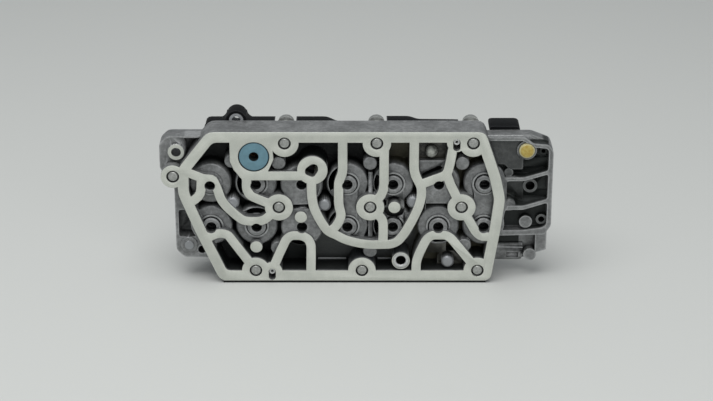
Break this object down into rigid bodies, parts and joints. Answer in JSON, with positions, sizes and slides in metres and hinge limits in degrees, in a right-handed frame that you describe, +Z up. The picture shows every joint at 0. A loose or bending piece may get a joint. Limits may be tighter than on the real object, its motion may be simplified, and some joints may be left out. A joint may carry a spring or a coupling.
{
  "type": "transmission valve body",
  "caption": "Die-cast transmission valve body with a machined labyrinth sealing face, sprung solenoid valves in cast cups, loose mounting bolts, a blue port insert and a black rear cover.",
  "frame": {"origin": "middle of the bottom edge of the machined sealing face", "axes": "+X along the length towards the amber plug, +Y from the sealing face to the rear cover, +Z up as it stands"},
  "size_m": [0.301, 0.0506, 0.132],
  "materials": {
    "cast_aluminium": "as-cast grey, machined pale on the sealing face",
    "bolt_steel": "plain zinc-plated steel",
    "blue_insert": "satin blue",
    "amber_plug": "satin amber",
    "bright_steel": "ground steel",
    "seal_rubber": "matt black",
    "carrier_plastic": "matt dark",
    "cover_plastic": "matt black moulding",
    "screw_steel": "plated",
    "bush_steel": "plain",
    "contact_metal": "plated",
    "valve_can": "dark coated can",
    "plunger_steel": "turned",
    "spring_steel": "wire"
  },
  "bodies": {
    "valve_body": {"housing": "cast_aluminium", "mounting_bolts": "bolt_steel", "port_insert": "blue_insert", "amber_plug": "amber_plug", "dowel_sleeve": "bright_steel", "locating_pins": "bright_steel", "valve_seals": "seal_rubber", "terminal_carrier": "carrier_plastic", "cover_seal": "seal_rubber", "rear_cover": "cover_plastic", "cover_screws": "screw_steel", "lug_bush": "bush_steel", "connector": "cover_plastic", "contact_pins": "contact_metal", "valve_upper_1": "valve_can", "valve_upper_2": "valve_can", "valve_upper_3": "valve_can", "valve_upper_4": "valve_can", "valve_upper_5": "valve_can", "valve_upper_6": "valve_can", "valve_upper_7": "valve_can", "valve_lower_1": "valve_can", "valve_lower_2": "valve_can", "valve_lower_3": "valve_can", "valve_lower_4": "valve_can", "valve_lower_5": "valve_can", "valve_lower_6": "valve_can", "valve_lower_7": "valve_can", "spring_upper_1": "spring_steel", "spring_upper_2": "spring_steel", "spring_upper_3": "spring_steel", "spring_upper_4": "spring_steel", "spring_upper_5": "spring_steel", "spring_upper_6": "spring_steel", "spring_upper_7": "spring_steel", "spring_lower_1": "spring_steel", "spring_lower_2": "spring_steel", "spring_lower_3": "spring_steel", "spring_lower_4": "spring_steel", "spring_lower_5": "spring_steel", "spring_lower_6": "spring_steel", "spring_lower_7": "spring_steel"},
    "armature_upper_1": {"plunger_upper_1": "plunger_steel"},
    "armature_upper_2": {"plunger_upper_2": "plunger_steel"},
    "armature_upper_3": {"plunger_upper_3": "plunger_steel"},
    "armature_upper_4": {"plunger_upper_4": "plunger_steel"},
    "armature_upper_5": {"plunger_upper_5": "plunger_steel"},
    "armature_upper_6": {"plunger_upper_6": "plunger_steel"},
    "armature_upper_7": {"plunger_upper_7": "plunger_steel"},
    "armature_lower_1": {"plunger_lower_1": "plunger_steel"},
    "armature_lower_2": {"plunger_lower_2": "plunger_steel"},
    "armature_lower_3": {"plunger_lower_3": "plunger_steel"},
    "armature_lower_4": {"plunger_lower_4": "plunger_steel"},
    "armature_lower_5": {"plunger_lower_5": "plunger_steel"},
    "armature_lower_6": {"plunger_lower_6": "plunger_steel"},
    "armature_lower_7": {"plunger_lower_7": "plunger_steel"}
  },
  "joints": [
    {"name": "stroke_upper_1", "type": "slide", "parent": "valve_body", "child": "armature_upper_1", "axis": [0, 1, 0], "range_m": [0, 0.0015], "stiffness_N_per_m": 400, "springref_m": -0.002, "deforming": ["spring_upper_1"]},
    {"name": "stroke_upper_2", "type": "slide", "parent": "valve_body", "child": "armature_upper_2", "axis": [0, 1, 0], "range_m": [0, 0.0015], "stiffness_N_per_m": 400, "springref_m": -0.002, "deforming": ["spring_upper_2"]},
    {"name": "stroke_upper_3", "type": "slide", "parent": "valve_body", "child": "armature_upper_3", "axis": [0, 1, 0], "range_m": [0, 0.0015], "stiffness_N_per_m": 400, "springref_m": -0.002, "deforming": ["spring_upper_3"]},
    {"name": "stroke_upper_4", "type": "slide", "parent": "valve_body", "child": "armature_upper_4", "axis": [0, 1, 0], "range_m": [0, 0.0015], "stiffness_N_per_m": 400, "springref_m": -0.002, "deforming": ["spring_upper_4"]},
    {"name": "stroke_upper_5", "type": "slide", "parent": "valve_body", "child": "armature_upper_5", "axis": [0, 1, 0], "range_m": [0, 0.0015], "stiffness_N_per_m": 400, "springref_m": -0.002, "deforming": ["spring_upper_5"]},
    {"name": "stroke_upper_6", "type": "slide", "parent": "valve_body", "child": "armature_upper_6", "axis": [0, 1, 0], "range_m": [0, 0.0015], "stiffness_N_per_m": 400, "springref_m": -0.002, "deforming": ["spring_upper_6"]},
    {"name": "stroke_upper_7", "type": "slide", "parent": "valve_body", "child": "armature_upper_7", "axis": [0, 1, 0], "range_m": [0, 0.0015], "stiffness_N_per_m": 400, "springref_m": -0.002, "deforming": ["spring_upper_7"]},
    {"name": "stroke_lower_1", "type": "slide", "parent": "valve_body", "child": "armature_lower_1", "axis": [0, 1, 0], "range_m": [0, 0.0015], "stiffness_N_per_m": 400, "springref_m": -0.002, "deforming": ["spring_lower_1"]},
    {"name": "stroke_lower_2", "type": "slide", "parent": "valve_body", "child": "armature_lower_2", "axis": [0, 1, 0], "range_m": [0, 0.0015], "stiffness_N_per_m": 400, "springref_m": -0.002, "deforming": ["spring_lower_2"]},
    {"name": "stroke_lower_3", "type": "slide", "parent": "valve_body", "child": "armature_lower_3", "axis": [0, 1, 0], "range_m": [0, 0.0015], "stiffness_N_per_m": 400, "springref_m": -0.002, "deforming": ["spring_lower_3"]},
    {"name": "stroke_lower_4", "type": "slide", "parent": "valve_body", "child": "armature_lower_4", "axis": [0, 1, 0], "range_m": [0, 0.0015], "stiffness_N_per_m": 400, "springref_m": -0.002, "deforming": ["spring_lower_4"]},
    {"name": "stroke_lower_5", "type": "slide", "parent": "valve_body", "child": "armature_lower_5", "axis": [0, 1, 0], "range_m": [0, 0.0015], "stiffness_N_per_m": 400, "springref_m": -0.002, "deforming": ["spring_lower_5"]},
    {"name": "stroke_lower_6", "type": "slide", "parent": "valve_body", "child": "armature_lower_6", "axis": [0, 1, 0], "range_m": [0, 0.0015], "stiffness_N_per_m": 400, "springref_m": -0.002, "deforming": ["spring_lower_6"]},
    {"name": "stroke_lower_7", "type": "slide", "parent": "valve_body", "child": "armature_lower_7", "axis": [0, 1, 0], "range_m": [0, 0.0015], "stiffness_N_per_m": 400, "springref_m": -0.002, "deforming": ["spring_lower_7"]}
  ]
}
